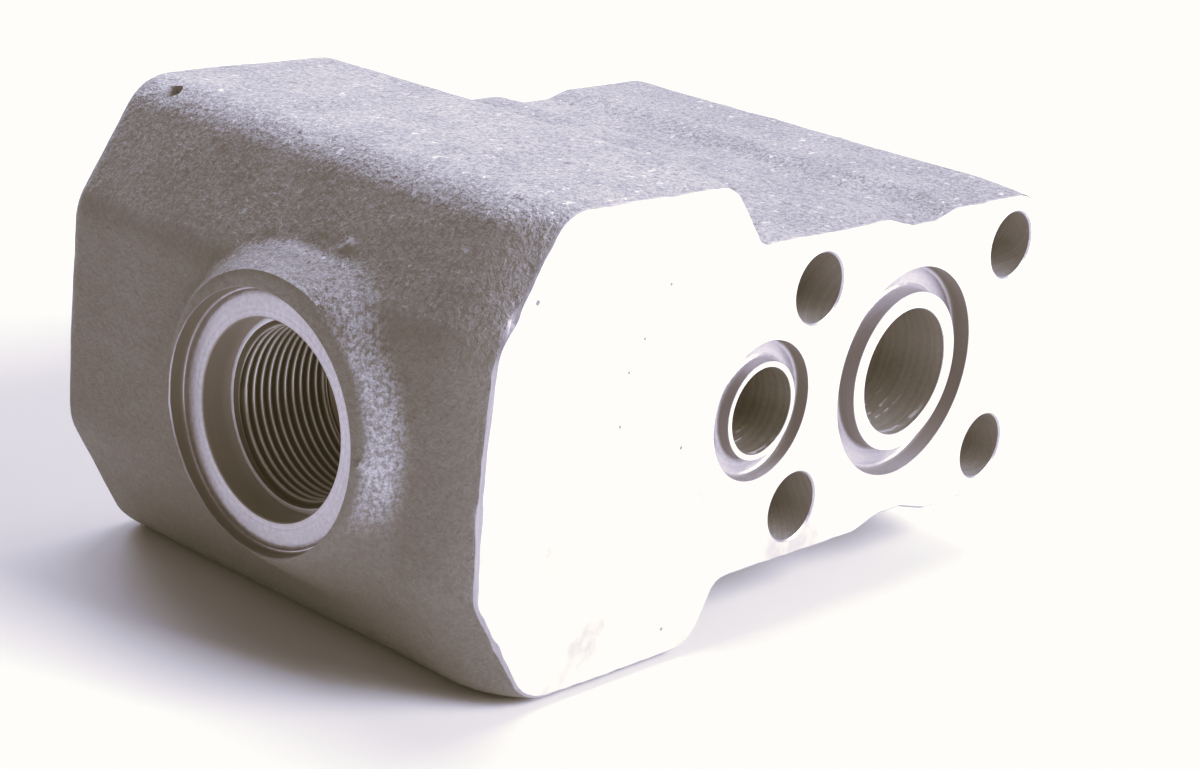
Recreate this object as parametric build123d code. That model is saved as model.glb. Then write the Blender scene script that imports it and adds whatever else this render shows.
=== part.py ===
from build123d import *
import math
import os

# Hydraulic manifold block: one grey iron casting, machined on one side and in
# its ports.  Millimetres.  The frame has +X along the length, the machined
# port face looking to -Y, the threaded port looking to -X and +Z up; the
# origin is under the middle of the bounding box.

# ---- driving dimensions ---------------------------------------------------
DEPTH = 134.0            # machined face to cast back
BORE_X = 51.8            # axis of the main face port, from the origin
FACE_Y = -67.0           # plane of the machined face
MID_Z = 56.0             # height of the face port axes
BACK_ROUND = 4.6         # rounding of the cast back edges
FRONT_EASE = 18.0        # depth over which the cast skin eases in to the face

MAIN_R = 16.0            # main face port
MAIN_LAND_R = 20.2       # its sealing land
MAIN_GROOVE_R = 26.4     # outside of its seal groove
MAIN_GROOVE_D = 4.8
MAIN_DEPTH = 72.0
SIDE_DX = -55.4          # side face port, from the main one
SIDE_R = 10.45
SIDE_LAND_R = 11.95
SIDE_GROOVE_R = 16.8
SIDE_GROOVE_D = 3.3
SIDE_DEPTH = 62.0
GROOVE_CORNER = 1.3      # radius in the foot of both grooves

BOLT_DX = 78.3           # bolt pattern, centred on the main port
BOLT_DZ = 53.8
BOLT_R = 8.5             # clearance for M16
BOLT_BREAK = 0.4         # edge break at both mouths
DRILL_WEB = 1.0          # half width of the flat that a drill's web leaves

PORT_X = -156.8          # plane of the boss of the threaded port, from BORE_X
PORT_Y = 57.7            # its machined axis: depth behind the face
PORT_Z = -1.8            # and height over the face port axes
PORT_FACE_R = 29.6       # sunk seat for the fitting
PORT_FACE_D = 3.7
PORT_CBORE_R = 22.5      # counterbore for the seal
PORT_CBORE_D = 7.6
PORT_MINOR_R = 19.48     # minor radius of the G 1 1/4 thread
PORT_THREAD_L = 27.0
GALLERY_R = 14.0         # cross gallery behind the thread

BOSS_Y = 55.0            # the cast boss sits a little off the machined axis
BOSS_Z = 0.5
BOSS_TOP_R = 33.8
BOSS_SLOPE = 0.61        # growth of its radius per millimetre of depth

# Cross-section corners, (x, z, corner radius), clockwise from the left edge,
# measured from the main port axis: at the machined face, and of the full
# cast body behind it.
AT_FACE = [
    (-146.3, 1.3, 200.0),
    (-144.9, 28.6, 19.4),
    (-127.7, 56.2, 11.6),
    (-75.1, 55.5, 10.3),
    (-62.8, 40.5, 5.2),
    (-15.5, 40.5, 9.7),
    (-5.2, 37.8, 7.7),
    (5.2, 37.8, 7.7),
    (12.9, 39.9, 9.7),
    (51.5, 39.9, 12.5),
    (51.5, -39.6, 12.5),
    (16.8, -39.5, 9.7),
    (6.5, -36.8, 7.7),
    (-3.2, -36.8, 7.7),
    (-12.9, -39.5, 9.7),
    (-65.1, -39.5, 5.2),
    (-71.9, -54.2, 10.3),
    (-126.1, -53.9, 12.9),
    (-144.2, -27.1, 6.5),
]
BODY = [
    (-150.9, 1.3, 700.0),
    (-150.6, 28.1, 16.1),
    (-133.2, 57.0, 12.9),
    (-73.9, 57.0, 11.0),
    (-61.1, 41.3, 4.5),
    (-14.8, 41.3, 9.7),
    (-4.8, 38.6, 7.7),
    (5.5, 38.6, 7.7),
    (13.5, 40.8, 9.7),
    (53.2, 40.8, 13.9),
    (53.2, -41.0, 13.9),
    (16.8, -41.0, 9.7),
    (6.8, -38.1, 7.7),
    (-3.5, -38.1, 7.7),
    (-13.2, -41.0, 9.7),
    (-64.0, -41.0, 5.2),
    (-71.0, -56.0, 11.0),
    (-131.6, -56.0, 14.2),
    (-150.4, -24.5, 16.1),
]


# ---- helpers --------------------------------------------------------------
def corner(p, q, s, r):
    """Tangent points and mid point of the arc that rounds the corner q."""
    ax, az = p[0] - q[0], p[1] - q[1]
    bx, bz = s[0] - q[0], s[1] - q[1]
    la, lb = math.hypot(ax, az), math.hypot(bx, bz)
    ax, az, bx, bz = ax / la, az / la, bx / lb, bz / lb
    half = math.acos(max(-1.0, min(1.0, ax * bx + az * bz))) / 2
    t = r / math.tan(half)
    mx, mz = ax + bx, az + bz
    lm = math.hypot(mx, mz)
    d = r / math.sin(half) - r
    return (
        (q[0] + ax * t, q[1] + az * t),
        (q[0] + mx / lm * d, q[1] + mz / lm * d),
        (q[0] + bx * t, q[1] + bz * t),
    )


def section(corners, y):
    """Closed wire of lines and tangent arcs in the plane at depth y."""
    n = len(corners)
    arcs = [
        corner(corners[i - 1], corners[i], corners[(i + 1) % n], corners[i][2])
        for i in range(n)
    ]

    def at(p):
        return Vector(BORE_X + p[0], FACE_Y + y, MID_Z + p[1])

    edges = []
    for i in range(n):
        a, m, b = arcs[i]
        edges.append(Edge.make_three_point_arc(at(a), at(m), at(b)))
        edges.append(Edge.make_line(at(b), at(arcs[(i + 1) % n][0])))
    return Wire(edges)


def mixed(w):
    """Cross-section corners between the body (w = 0) and the face (w = 1)."""
    return [
        tuple(b + (a - b) * w for a, b in zip(f, g)) for f, g in zip(AT_FACE, BODY)
    ]


def drill(x, z, r, depth, start=0.0):
    """Blind hole along +Y from the face, with a 118 degree point."""
    tip = (r - DRILL_WEB) / math.tan(math.radians(59))
    prof = make_face(
        Polyline(
            (0, start),
            (r, start),
            (r, depth),
            (DRILL_WEB, depth + tip),
            (0, depth + tip),
            close=True,
        )
    )
    tool = revolve(prof, axis=Axis.Y, revolution_arc=360)
    return Pos(BORE_X + x, FACE_Y, MID_Z + z) * tool


def groove(x, z, r_in, r_out, depth):
    """Ring groove in the face with rounded feet."""
    prof = make_face(
        Polyline((r_in, -1), (r_out, -1), (r_out, depth), (r_in, depth), close=True)
    )
    feet = [v for v in prof.vertices() if v.Y > depth - 0.01]
    prof = fillet(feet, GROOVE_CORNER)
    tool = revolve(prof, axis=Axis.Y, revolution_arc=360)
    return Pos(BORE_X + x, FACE_Y, MID_Z + z) * tool


# ---- cast body ------------------------------------------------------------
steps = [0.0, 0.22, 0.5, 1.0]
front = None
for a, b in zip(steps, steps[1:]):
    band = Solid.make_loft(
        [
            section(mixed((1 - a) ** 2), a * FRONT_EASE),
            section(mixed((1 - b) ** 2), b * FRONT_EASE),
        ],
        ruled=True,
    )
    front = band if front is None else front + band

full = extrude(Face(section(BODY, FRONT_EASE)), DEPTH - FRONT_EASE, dir=(0, 1, 0))
back_edges = full.edges().filter_by(
    lambda e: abs(e.center().Y - (FACE_Y + DEPTH)) < 1e-6
)
full = fillet(back_edges, BACK_ROUND)

# boss of the threaded port, a short cone that runs into the left side
x0 = BORE_X + PORT_X
cone_l = 20.0
boss_prof = make_face(
    Polyline(
        (0, 0),
        (0, BOSS_TOP_R),
        (cone_l, BOSS_TOP_R + BOSS_SLOPE * cone_l),
        (cone_l, 0),
        close=True,
    )
)
boss = Pos(x0, FACE_Y + BOSS_Y, MID_Z + BOSS_Z) * revolve(
    boss_prof, axis=Axis.X, revolution_arc=360
)
rear = full + boss


block = front + rear

# ---- machining ------------------------------------------------------------
block -= drill(0, 0, MAIN_R, MAIN_DEPTH, -1)
block -= groove(0, 0, MAIN_LAND_R, MAIN_GROOVE_R, MAIN_GROOVE_D)
block -= drill(SIDE_DX, 0, SIDE_R, SIDE_DEPTH, -1)
block -= groove(SIDE_DX, 0, SIDE_LAND_R, SIDE_GROOVE_R, SIDE_GROOVE_D)

for sx in (-1, 1):
    for sz in (-1, 1):
        b = BOLT_BREAK
        prof = make_face(
            Polyline(
                (0, -1),
                (BOLT_R + b + 1, -1),
                (BOLT_R, b),
                (BOLT_R, DEPTH - b),
                (BOLT_R + b + 1, DEPTH + 1),
                (0, DEPTH + 1),
                close=True,
            )
        )
        hole = revolve(prof, axis=Axis.Y, revolution_arc=360)
        block -= (
            Pos(BORE_X + sx * BOLT_DX / 2, FACE_Y, MID_Z + sz * BOLT_DZ / 2) * hole
        )

# threaded port: sunk seat, counterbore, threaded length and cross gallery,
# turned about one axis along +X
seat = PORT_FACE_D
cb = seat + PORT_CBORE_D
te = cb + PORT_THREAD_L
neck = te + (PORT_MINOR_R - GALLERY_R) / math.tan(math.radians(59))
end = -PORT_X + 4.0
port_prof = make_face(
    Polyline(
        (-1, 0),
        (-1, PORT_FACE_R),
        (seat, PORT_FACE_R),
        (seat, PORT_CBORE_R),
        (cb, PORT_CBORE_R),
        (cb, PORT_MINOR_R),
        (te, PORT_MINOR_R),
        (neck, GALLERY_R),
        (end, GALLERY_R),
        (end, 0),
        close=True,
    )
)
foot = [
    v for v in port_prof.vertices()
    if abs(v.X - seat) < 1e-6 and abs(v.Y - PORT_FACE_R) < 1e-6
]
port_prof = fillet(foot, 0.8)
block -= Pos(x0, FACE_Y + PORT_Y, MID_Z + PORT_Z) * revolve(
    port_prof, axis=Axis.X, revolution_arc=360
)

solid = block.solids()[0]
box = solid.bounding_box()
print("solids", len(block.solids()), "valid", solid.is_valid,
      "volume", round(solid.volume), "box", box.min, box.max)

os.makedirs("parts", exist_ok=True)
solid.label = "manifold_block"
export_step(solid, "parts/manifold_block.step")
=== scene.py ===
import math

import bmesh
import bpy
import numpy as np
from mathutils import Matrix, Vector
from mathutils.geometry import delaunay_2d_cdt


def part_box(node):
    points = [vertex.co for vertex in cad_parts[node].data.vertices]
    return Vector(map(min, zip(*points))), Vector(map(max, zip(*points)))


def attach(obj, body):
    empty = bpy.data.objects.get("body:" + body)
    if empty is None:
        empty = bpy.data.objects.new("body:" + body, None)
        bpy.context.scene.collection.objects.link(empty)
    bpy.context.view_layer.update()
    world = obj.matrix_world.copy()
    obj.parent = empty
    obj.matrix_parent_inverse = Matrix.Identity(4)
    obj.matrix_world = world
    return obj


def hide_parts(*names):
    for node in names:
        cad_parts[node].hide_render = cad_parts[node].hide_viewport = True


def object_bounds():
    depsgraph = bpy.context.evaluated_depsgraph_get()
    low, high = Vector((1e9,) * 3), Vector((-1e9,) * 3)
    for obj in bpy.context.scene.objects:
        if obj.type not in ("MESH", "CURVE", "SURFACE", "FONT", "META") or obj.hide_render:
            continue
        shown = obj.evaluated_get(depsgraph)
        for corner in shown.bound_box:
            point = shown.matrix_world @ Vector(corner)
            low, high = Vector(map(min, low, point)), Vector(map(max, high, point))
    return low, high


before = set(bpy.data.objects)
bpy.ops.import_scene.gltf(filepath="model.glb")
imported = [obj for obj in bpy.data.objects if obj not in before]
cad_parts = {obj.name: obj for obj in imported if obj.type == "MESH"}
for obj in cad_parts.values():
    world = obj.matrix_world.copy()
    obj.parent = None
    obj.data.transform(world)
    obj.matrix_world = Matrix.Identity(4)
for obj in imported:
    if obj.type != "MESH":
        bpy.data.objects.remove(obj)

NODE = "manifold_block"
cad_lo, cad_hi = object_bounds()
lo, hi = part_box(NODE)

# ---------------------------------------------------------------------------
# Sizes, in millimetres.  BX, FY, MZ is the centre of the main face port.
# ---------------------------------------------------------------------------
BX = hi.x * 1000 - 53.2
FY = lo.y * 1000
MZ = hi.z * 1000 - 57.0
DEPTH = (hi.y - lo.y) * 1000
EASE = 18.0
BACK_R = 4.6

AT_FACE = [
    (-146.3, 1.3, 200.0), (-144.9, 28.6, 19.4), (-127.7, 56.2, 11.6), (-75.1, 55.5, 10.3),
    (-62.8, 40.5, 5.2), (-15.5, 40.5, 9.7), (-5.2, 37.8, 7.7), (5.2, 37.8, 7.7),
    (12.9, 39.9, 9.7), (51.5, 39.9, 12.5), (51.5, -39.6, 12.5), (16.8, -39.5, 9.7),
    (6.5, -36.8, 7.7), (-3.2, -36.8, 7.7), (-12.9, -39.5, 9.7), (-65.1, -39.5, 5.2),
    (-71.9, -54.2, 10.3), (-126.1, -53.9, 12.9), (-144.2, -27.1, 6.5),
]
BODY = [
    (-150.9, 1.3, 700.0), (-150.6, 28.1, 16.1), (-133.2, 57.0, 12.9), (-73.9, 57.0, 11.0),
    (-61.1, 41.3, 4.5), (-14.8, 41.3, 9.7), (-4.8, 38.6, 7.7), (5.5, 38.6, 7.7),
    (13.5, 40.8, 9.7), (53.2, 40.8, 13.9), (53.2, -41.0, 13.9), (16.8, -41.0, 9.7),
    (6.8, -38.1, 7.7), (-3.5, -38.1, 7.7), (-13.2, -41.0, 9.7), (-64.0, -41.0, 5.2),
    (-71.0, -56.0, 11.0), (-131.6, -56.0, 14.2), (-150.4, -24.5, 16.1),
]
START = 13                      # the outline is numbered from the bottom dip
AT_FACE = AT_FACE[START:] + AT_FACE[:START]
BODY = BODY[START:] + BODY[:START]

PORT_X, PORT_Y, PORT_Z = -156.8, 57.7, -1.8
SEAT_R, SEAT_D = 29.6, 3.7
CB_R, CB_D = 22.5, 7.6
PITCH, MAJOR, MINOR, TR = 2.309, 20.955, 19.476, 0.317
CREST0 = -144.996               # where the first thread crest stands at angle 0
THREAD_L = 27.0
GALLERY_R = 14.0
BOSS_Y, BOSS_Z, BOSS_R, BOSS_SLOPE = 55.0, 0.5, 33.8, 0.61

BOLTS = [(sx * 39.15, sz * 26.9) for sx in (-1, 1) for sz in (-1, 1)]
BOLT_R = 8.5
MAIN = dict(x=0.0, r=16.0, land=20.2, groove=26.4, gd=4.8, depth=72.0)
SIDE = dict(x=-55.4, r=10.45, land=11.95, groove=16.8, gd=3.3, depth=62.0)
FOOT = 1.3

# ---------------------------------------------------------------------------
# Noise
# ---------------------------------------------------------------------------
rng = np.random.RandomState(11)
_perm = rng.permutation(256)
_grad = rng.normal(size=(256, 3))
_grad /= np.linalg.norm(_grad, axis=1)[:, None]


def perlin(p):
    i = np.floor(p).astype(int)
    f = p - i
    u = f * f * f * (f * (f * 6 - 15) + 10)

    def g(dx, dy, dz):
        h = _perm[(_perm[(_perm[(i[:, 0] + dx) & 255] + i[:, 1] + dy) & 255] + i[:, 2] + dz) & 255]
        v = _grad[h]
        return v[:, 0] * (f[:, 0] - dx) + v[:, 1] * (f[:, 1] - dy) + v[:, 2] * (f[:, 2] - dz)

    def mix(a, b, t):
        return a + (b - a) * t

    x00 = mix(g(0, 0, 0), g(1, 0, 0), u[:, 0])
    x10 = mix(g(0, 1, 0), g(1, 1, 0), u[:, 0])
    x01 = mix(g(0, 0, 1), g(1, 0, 1), u[:, 0])
    x11 = mix(g(0, 1, 1), g(1, 1, 1), u[:, 0])
    return mix(mix(x00, x10, u[:, 1]), mix(x01, x11, u[:, 1]), u[:, 2]) * 1.6


def smooth(a, b, x):
    t = np.clip((x - a) / (b - a), 0, 1)
    return t * t * (3 - 2 * t)


def relief(p):
    """Height of the cast skin over its nominal surface, in mm."""
    d = 0.26 * perlin(p / 46.0 + 3.1) + 0.12 * perlin(p / 17.0 + 9.7)
    d = d + 0.075 * perlin(p / 6.5 + 5.3) + 0.05 * perlin(p / 3.1 + 1.9)
    return d


# lumps of the cast skin: x, y, z, height, radius
LUMPS = [(-94.4, 61.8, 57.0, 0.55, 1.1), (-113.3, 46.5, 57.0, 0.60, 1.2), (-109.6, 42.0, 57.0, 0.45, 1.0),
         (-98.5, 22.8, 57.0, 0.45, 1.0), (-146.0, 46.6, 39.0, 0.75, 0.60), (-146.0, 47.8, 38.2, 0.40, 0.55),
         (-155.5, 25.8, -1.5, 1.00, 0.55), (-155.3, 25.1, -0.6, 0.70, 0.5), (-155.3, 24.4, -2.2, 0.45, 0.6)]
_r = np.random.default_rng(41)
for _k in range(64):
    _x, _y = _r.uniform(-132, 50), _r.uniform(6, 126)
    LUMPS.append((_x, _y, 57.0 if _x < -76 else 40.9, _r.uniform(0.16, 0.42), _r.uniform(0.75, 1.15)))
LUMPS = np.array(LUMPS)


def features(p):
    """Lumps and the mould line, which the general relief doesn't have."""
    d = np.zeros(len(p))
    for x, y, z, h, r in LUMPS:
        if z > 40:
            m = (np.abs(p[:, 0] - x) < 4 * r) & (np.abs(p[:, 1] - y) < 4 * r) & (p[:, 2] > 30)
            q = (p[m, 0] - x) ** 2 + 0.8 * (p[m, 1] - y) ** 2
        else:
            m = (np.abs(p[:, 2] - z) < 4 * r) & (np.abs(p[:, 1] - y) < 4 * r) & (p[:, 0] < -120)
            q = (p[m, 2] - z) ** 2 + (p[m, 1] - y) ** 2
        d[m] += h * np.exp(-q / (2 * r * r))
    # the two halves of the mould met a little out of line on the back part
    line = p[:, 2] + 2.6 + 0.7 * np.sin(p[:, 1] / 5.1) + 0.5 * np.sin(p[:, 1] / 2.2)
    m = smooth(94, 104, p[:, 1]) * smooth(-128, -140, p[:, 0])
    return d + m * 0.26 * (smooth(-1.0, 1.0, line) - 0.5)


# ---------------------------------------------------------------------------
# Outline of the casting
# ---------------------------------------------------------------------------
def mixed(w):
    return [tuple(b + (a - b) * w for a, b in zip(f, g)) for f, g in zip(AT_FACE, BODY)]


def arcs_of(corners):
    n = len(corners)
    out = []
    for i in range(n):
        p, q, s = (np.array(corners[k % n][:2]) for k in (i - 1, i, i + 1))
        r = corners[i][2]
        a = (p - q) / np.linalg.norm(p - q)
        b = (s - q) / np.linalg.norm(s - q)
        half = math.acos(float(np.clip(a @ b, -1, 1))) / 2
        m = (a + b) / np.linalg.norm(a + b)
        c = q + m * (r / math.sin(half))
        ta, tb = q + a * r / math.tan(half), q + b * r / math.tan(half)
        a0 = math.atan2(*(ta - c)[::-1])
        a1 = math.atan2(*(tb - c)[::-1])
        da = (a1 - a0 + math.pi) % (2 * math.pi) - math.pi
        out.append((c, r, a0, da, ta, tb))
    return out


def spacing(x, z):
    """Wanted edge length along the outline: finer where the block is seen most."""
    if x < -125 or z > 20:
        return 1.2
    return 1.7


def counts():
    out = []
    a = arcs_of(BODY)
    n = len(a)
    for i in range(n):
        c, r, a0, da, ta, tb = a[i]
        nxt = a[(i + 1) % n][4]
        sp = spacing(*(BODY[i][:2]))
        na = max(3, round(abs(da) * r / sp), math.ceil(abs(da) / math.radians(9)))
        mid = (tb + nxt) / 2
        nl = max(1, round(float(np.linalg.norm(nxt - tb)) / spacing(*mid)))
        out.append((na, nl))
    return out


COUNTS = counts()


def outline(w, mult=1):
    a = arcs_of(mixed(w))
    n = len(a)
    pts = []
    for i in range(n):
        c, r, a0, da, ta, tb = a[i]
        na, nl = COUNTS[i][0] * mult, COUNTS[i][1] * mult
        t = a0 + da * np.arange(na) / na
        pts.append(c + r * np.stack([np.cos(t), np.sin(t)], 1))
        nxt = a[(i + 1) % n][4]
        pts.append(tb + (nxt - tb) * (np.arange(nl) / nl)[:, None])
    return np.concatenate(pts)


def normals_of(o):
    t = np.roll(o, -1, 0) - np.roll(o, 1, 0)
    t /= np.linalg.norm(t, axis=1)[:, None]
    return np.stack([-t[:, 1], t[:, 0]], 1)


# ---------------------------------------------------------------------------
# Mesh assembly
# ---------------------------------------------------------------------------
verts, faces, mats = [], [], []
SKIN, FACE, PORT, THREAD, MAINP, SIDEP, DRILL, EDGE, BORE_M, BORE_S, GALLERY = range(11)


def put(p):
    """Adds points given in part millimetres from the main port centre."""
    p = np.asarray(p, float).reshape(-1, 3)
    first = sum(len(v) for v in verts)
    verts.append(p)
    return np.arange(first, first + len(p))


def strip(a, b, mat, closed=True):
    n = len(a)
    for k in range(n if closed else n - 1):
        j = (k + 1) % n
        faces.append((a[k], a[j], b[j], b[k]))
        mats.append(mat)


def rings(loops, mat):
    for a, b in zip(loops, loops[1:]):
        strip(a, b, mat)


def inside(poly, p):
    x, y = p[:, 0], p[:, 1]
    res = np.zeros(len(p), bool)
    a, b = poly, np.roll(poly, -1, 0)
    for (x0, y0), (x1, y1) in zip(a, b):
        c = (y0 > y) != (y1 > y)
        if c.any():
            xi = x0 + (y - y0) * (x1 - x0) / (y1 - y0 + 1e-30)
            res ^= c & (x < xi)
    return res


def nearest(p, q):
    """Distance from each p to the closest of the points q."""
    out = np.empty(len(p))
    for k in range(0, len(p), 2000):
        d = p[k:k + 2000, None] - q[None]
        out[k:k + 2000] = np.sqrt((d * d).sum(2).min(1))
    return out


def hexgrid(x0, x1, y0, y1, s, jitter, seed):
    r = np.random.RandomState(seed)
    h = s * math.sqrt(3) / 2
    rows = []
    for k, y in enumerate(np.arange(y0, y1, h)):
        xs = np.arange(x0 + (k % 2) * s / 2, x1, s)
        rows.append(np.stack([xs, np.full(len(xs), y)], 1))
    g = np.concatenate(rows)
    return g + r.uniform(-jitter, jitter, g.shape) * s


def fill(loops, ids, inner, inner_ids, mat, holes):
    """Triangulates a plane region: loops of fixed points, free inner points."""
    p = np.concatenate(loops + [inner])
    gid = np.concatenate(ids + [inner_ids])
    edges = []
    base = 0
    for lp in loops:
        n = len(lp)
        edges += [(base + k, base + (k + 1) % n) for k in range(n)]
        base += n
    v, e, f, ov, oe, of_ = delaunay_2d_cdt([Vector(q) for q in p], edges, [], 0, 1e-7, True)
    back = [gid[o[0]] for o in ov]
    v = np.array([tuple(q) for q in v])
    tri = np.array([t for t in f])
    c = v[tri].mean(1)
    keep = inside(loops[0], c)
    for h in holes:
        keep &= ~inside(h, c)
    for t in tri[keep]:
        faces.append((back[t[0]], back[t[1]], back[t[2]]))
        mats.append(mat)


# --- skin ------------------------------------------------------------------
face_o = outline(1.0)
face_n = normals_of(face_o)
N = len(face_o)
o3 = np.stack([face_o[:, 0], np.zeros(N), face_o[:, 1]], 1)
left = smooth(-70, -125, face_o[:, 0])
low = smooth(10, -35, face_o[:, 1])
cham = 0.32 + 0.38 * np.maximum(left * smooth(58, 30, face_o[:, 1]), low * 0.7)
cham = cham + 0.22 * perlin(o3 / 3.4 + 40) + 0.16 * perlin(o3 / 11.0 + 17)
cham = np.clip(cham, 0.14, 1.1)
for nx, nz, nh, nr in ((-141.6, 35.4, 0.9, 1.3), (-133.1, 52.0, 0.8, 1.2), (-146.0, -6.0, 0.4, 1.6), (-137.0, -38.0, 0.5, 1.4)):
    cham = cham + nh * np.exp(-((face_o[:, 0] - nx) ** 2 + (face_o[:, 1] - nz) ** 2) / (2 * nr * nr))
cham = np.clip(cham, 0.14, 1.25)

ys = [1.35, 2.0, 2.8, 3.8, 4.9]
while ys[-1] < DEPTH - BACK_R - 1.3:
    ys.append(ys[-1] + 1.27)
ys[-1] = DEPTH - BACK_R
rows = []
base_rows = []
for k, y in enumerate([None] + ys):
    yy = cham if y is None else np.full(N, y)
    w = max(0.0, 1 - (0.7 if y is None else y) / EASE) ** 2
    o = outline(w)
    n = normals_of(o)
    p = np.stack([o[:, 0], yy, o[:, 1]], 1)
    base_rows.append(p)
    d = relief(p) + features(p)
    p = p + np.stack([n[:, 0], 0 * d, n[:, 1]], 1) * d[:, None]
    rows.append(p)
body_o = outline(0.0)
body_n = normals_of(body_o)
for a in (15, 30, 45, 60, 75, 90):
    a = math.radians(a)
    ins = BACK_R * (1 - math.cos(a))
    o = body_o - body_n * ins
    y = DEPTH - BACK_R + BACK_R * math.sin(a)
    p = np.stack([o[:, 0], np.full(N, y), o[:, 1]], 1)
    d = relief(p)
    nn = np.stack([body_n[:, 0] * math.cos(a), np.full(N, math.sin(a)), body_n[:, 1] * math.cos(a)], 1)
    base_rows.append(p)
    rows.append(p + nn * np.minimum(d, 0.0 if a > 1.3 else 9)[:, None])

# the patch of the left side that carries the boss
zz = body_o[:, 1]
onleft = body_o[:, 0] < -128
sel = np.where(onleft & (zz > -45.5) & (zz < 46.5))[0]
i0, i1 = sel.min(), sel.max()
assert i1 - i0 + 1 == len(sel)
yrow = np.array([0.7] + ys)
j0 = int(np.searchsorted(yrow, 9.5))
j1 = int(np.searchsorted(yrow, 101.0))

# X of the bare side as a function of y and z
zt = np.arange(-54, 54.01, 0.25)
yt = np.linspace(0, EASE, 37)
table = []
for y in yt:
    o = outline((1 - y / EASE) ** 2, 4)
    m = o[:, 0] < -124
    oo = o[m]
    oo = oo[np.argsort(oo[:, 1])]
    table.append(np.interp(zt, oo[:, 1], oo[:, 0]))
table = np.array(table)


def side_x(y, z):
    fy = np.clip(y, 0, EASE) / EASE * (len(yt) - 1)
    fz = np.clip((z - zt[0]) / 0.25, 0, len(zt) - 1.001)
    a, b = np.minimum(fy.astype(int), len(yt) - 2), fz.astype(int)
    u, v = fy - a, fz - b
    return (table[a, b] * (1 - u) * (1 - v) + table[a + 1, b] * u * (1 - v)
            + table[a, b + 1] * (1 - u) * v + table[a + 1, b + 1] * u * v)


def boss_surface(y, z):
    """X of the side with its boss, and how far out on the boss a point is."""
    dist = np.hypot(y - BOSS_Y, z - BOSS_Z)
    back = (y - BOSS_Y) / np.maximum(dist, 1e-6)
    flat = BOSS_R - 2.0 + 1.5 * back
    rise = np.clip((z - BOSS_Z) / np.maximum(dist, 1e-6), 0, 1)
    slope = BOSS_SLOPE + 0.05 + 0.62 * np.clip(-back, 0, 1) ** 1.3 - 0.34 * rise ** 3
    cone = PORT_X + (dist - flat) / slope
    k = 2.2
    h = np.maximum(k - np.abs(cone - PORT_X), 0) / k
    top = np.maximum(cone, PORT_X) + h * h * k / 4
    s = side_x(y, z)
    k = 3.2
    h = np.maximum(k - np.abs(top - s), 0) / k
    return np.minimum(top, s) - h * h * k / 4, dist


def boss_points(y, z, quiet):
    """Finished skin points over the patch; quiet lowers the relief near the port."""
    e = 0.05
    x, dist = boss_surface(y, z)
    gx = (boss_surface(y + e, z)[0] - boss_surface(y - e, z)[0]) / (2 * e)
    gz = (boss_surface(y, z + e)[0] - boss_surface(y, z - e)[0]) / (2 * e)
    n = np.stack([-np.ones_like(x), gx, gz], 1)
    n /= np.linalg.norm(n, axis=1)[:, None]
    p = np.stack([x, y, z], 1)
    d = relief(p)
    flank = smooth(31.0, 33.5, dist) * smooth(44.5, 38.0, dist)
    d = d + flank * (0.20 * perlin(p / 2.6 + 71) + 0.17 * perlin(p / 4.3 + 12))
    amount = 1 - quiet * (1 - smooth(30.5, 33.0, dist))
    return p + n * (d * amount + features(p))[:, None]


NJ = len(rows)
ids = np.full((NJ, N), -1)
for j in range(NJ):
    keep = np.ones(N, bool)
    if j0 < j < j1:
        keep[i0 + 1:i1] = False
    where = np.where(keep)[0]
    ids[j, where] = put(rows[j][where])
for j in range(NJ - 1):
    for i in range(N):
        k = (i + 1) % N
        if j0 <= j < j1 and i0 <= i < i1:
            continue
        faces.append((ids[j, i], ids[j, k], ids[j + 1, k], ids[j + 1, i]))
        mats.append(SKIN)

# --- boss patch --------------------------------------------------------------
loop_ji = ([(j0, i) for i in range(i0, i1)] + [(j, i1) for j in range(j0, j1)]
           + [(j1, i) for i in range(i1, i0, -1)] + [(j, i0) for j in range(j1, j0, -1)])
loop_ids = np.array([ids[j, i] for j, i in loop_ji])
loop_yz = np.array([base_rows[j][i][1:] for j, i in loop_ji])
# the nominal plane position is used for the triangulation
K = 120
th = 2 * math.pi * np.arange(K) / K
ct, st = np.cos(th), np.sin(th)


def circle(y, z, r, n=K):
    t = 2 * math.pi * np.arange(n) / n
    return np.stack([y + r * np.cos(t), z + r * np.sin(t)], 1)


hole_yz = circle(PORT_Y, PORT_Z, SEAT_R + 0.22)
free = []
for t in (0.3, 0.65):
    c = circle(PORT_Y + (BOSS_Y - PORT_Y) * t, PORT_Z + (BOSS_Z - PORT_Z) * t,
               SEAT_R + 0.22 + (BOSS_R - SEAT_R - 0.22) * t, 150)
    gap = np.hypot(c[:, 0] - PORT_Y, c[:, 1] - PORT_Z) - SEAT_R - 0.22
    free.append(c[gap > 0.75])
for k, dr in enumerate((0.0, 0.55, 1.1, 1.7, 2.4, 3.15, 4.0, 5.0, 6.2, 7.5)):
    c = circle(BOSS_Y, BOSS_Z, BOSS_R + dr, 216)
    gap = np.hypot(c[:, 0] - PORT_Y, c[:, 1] - PORT_Z) - SEAT_R - 0.22
    free.append(c[gap > 0.3])
g = hexgrid(yrow[j0] + 0.6, yrow[j1] - 0.6, zz[i0] + 0.5, zz[i1] - 0.5, 1.3, 0.12, 3)
g = g[np.hypot(g[:, 0] - BOSS_Y, g[:, 1] - BOSS_Z) > BOSS_R + 8.3]
g = g[nearest(g, loop_yz) > 0.75]
free.append(g)
free = np.concatenate(free)
small = LUMPS[(LUMPS[:, 2] < 40)]
g = np.concatenate([hexgrid(q[1] - 1.8, q[1] + 1.8, q[2] - 1.8, q[2] + 1.8, 0.38, 0.05, 9) for q in small])
g = g[nearest(g, small[:, 1:3]) < 1.7]
keep_g = []
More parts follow.
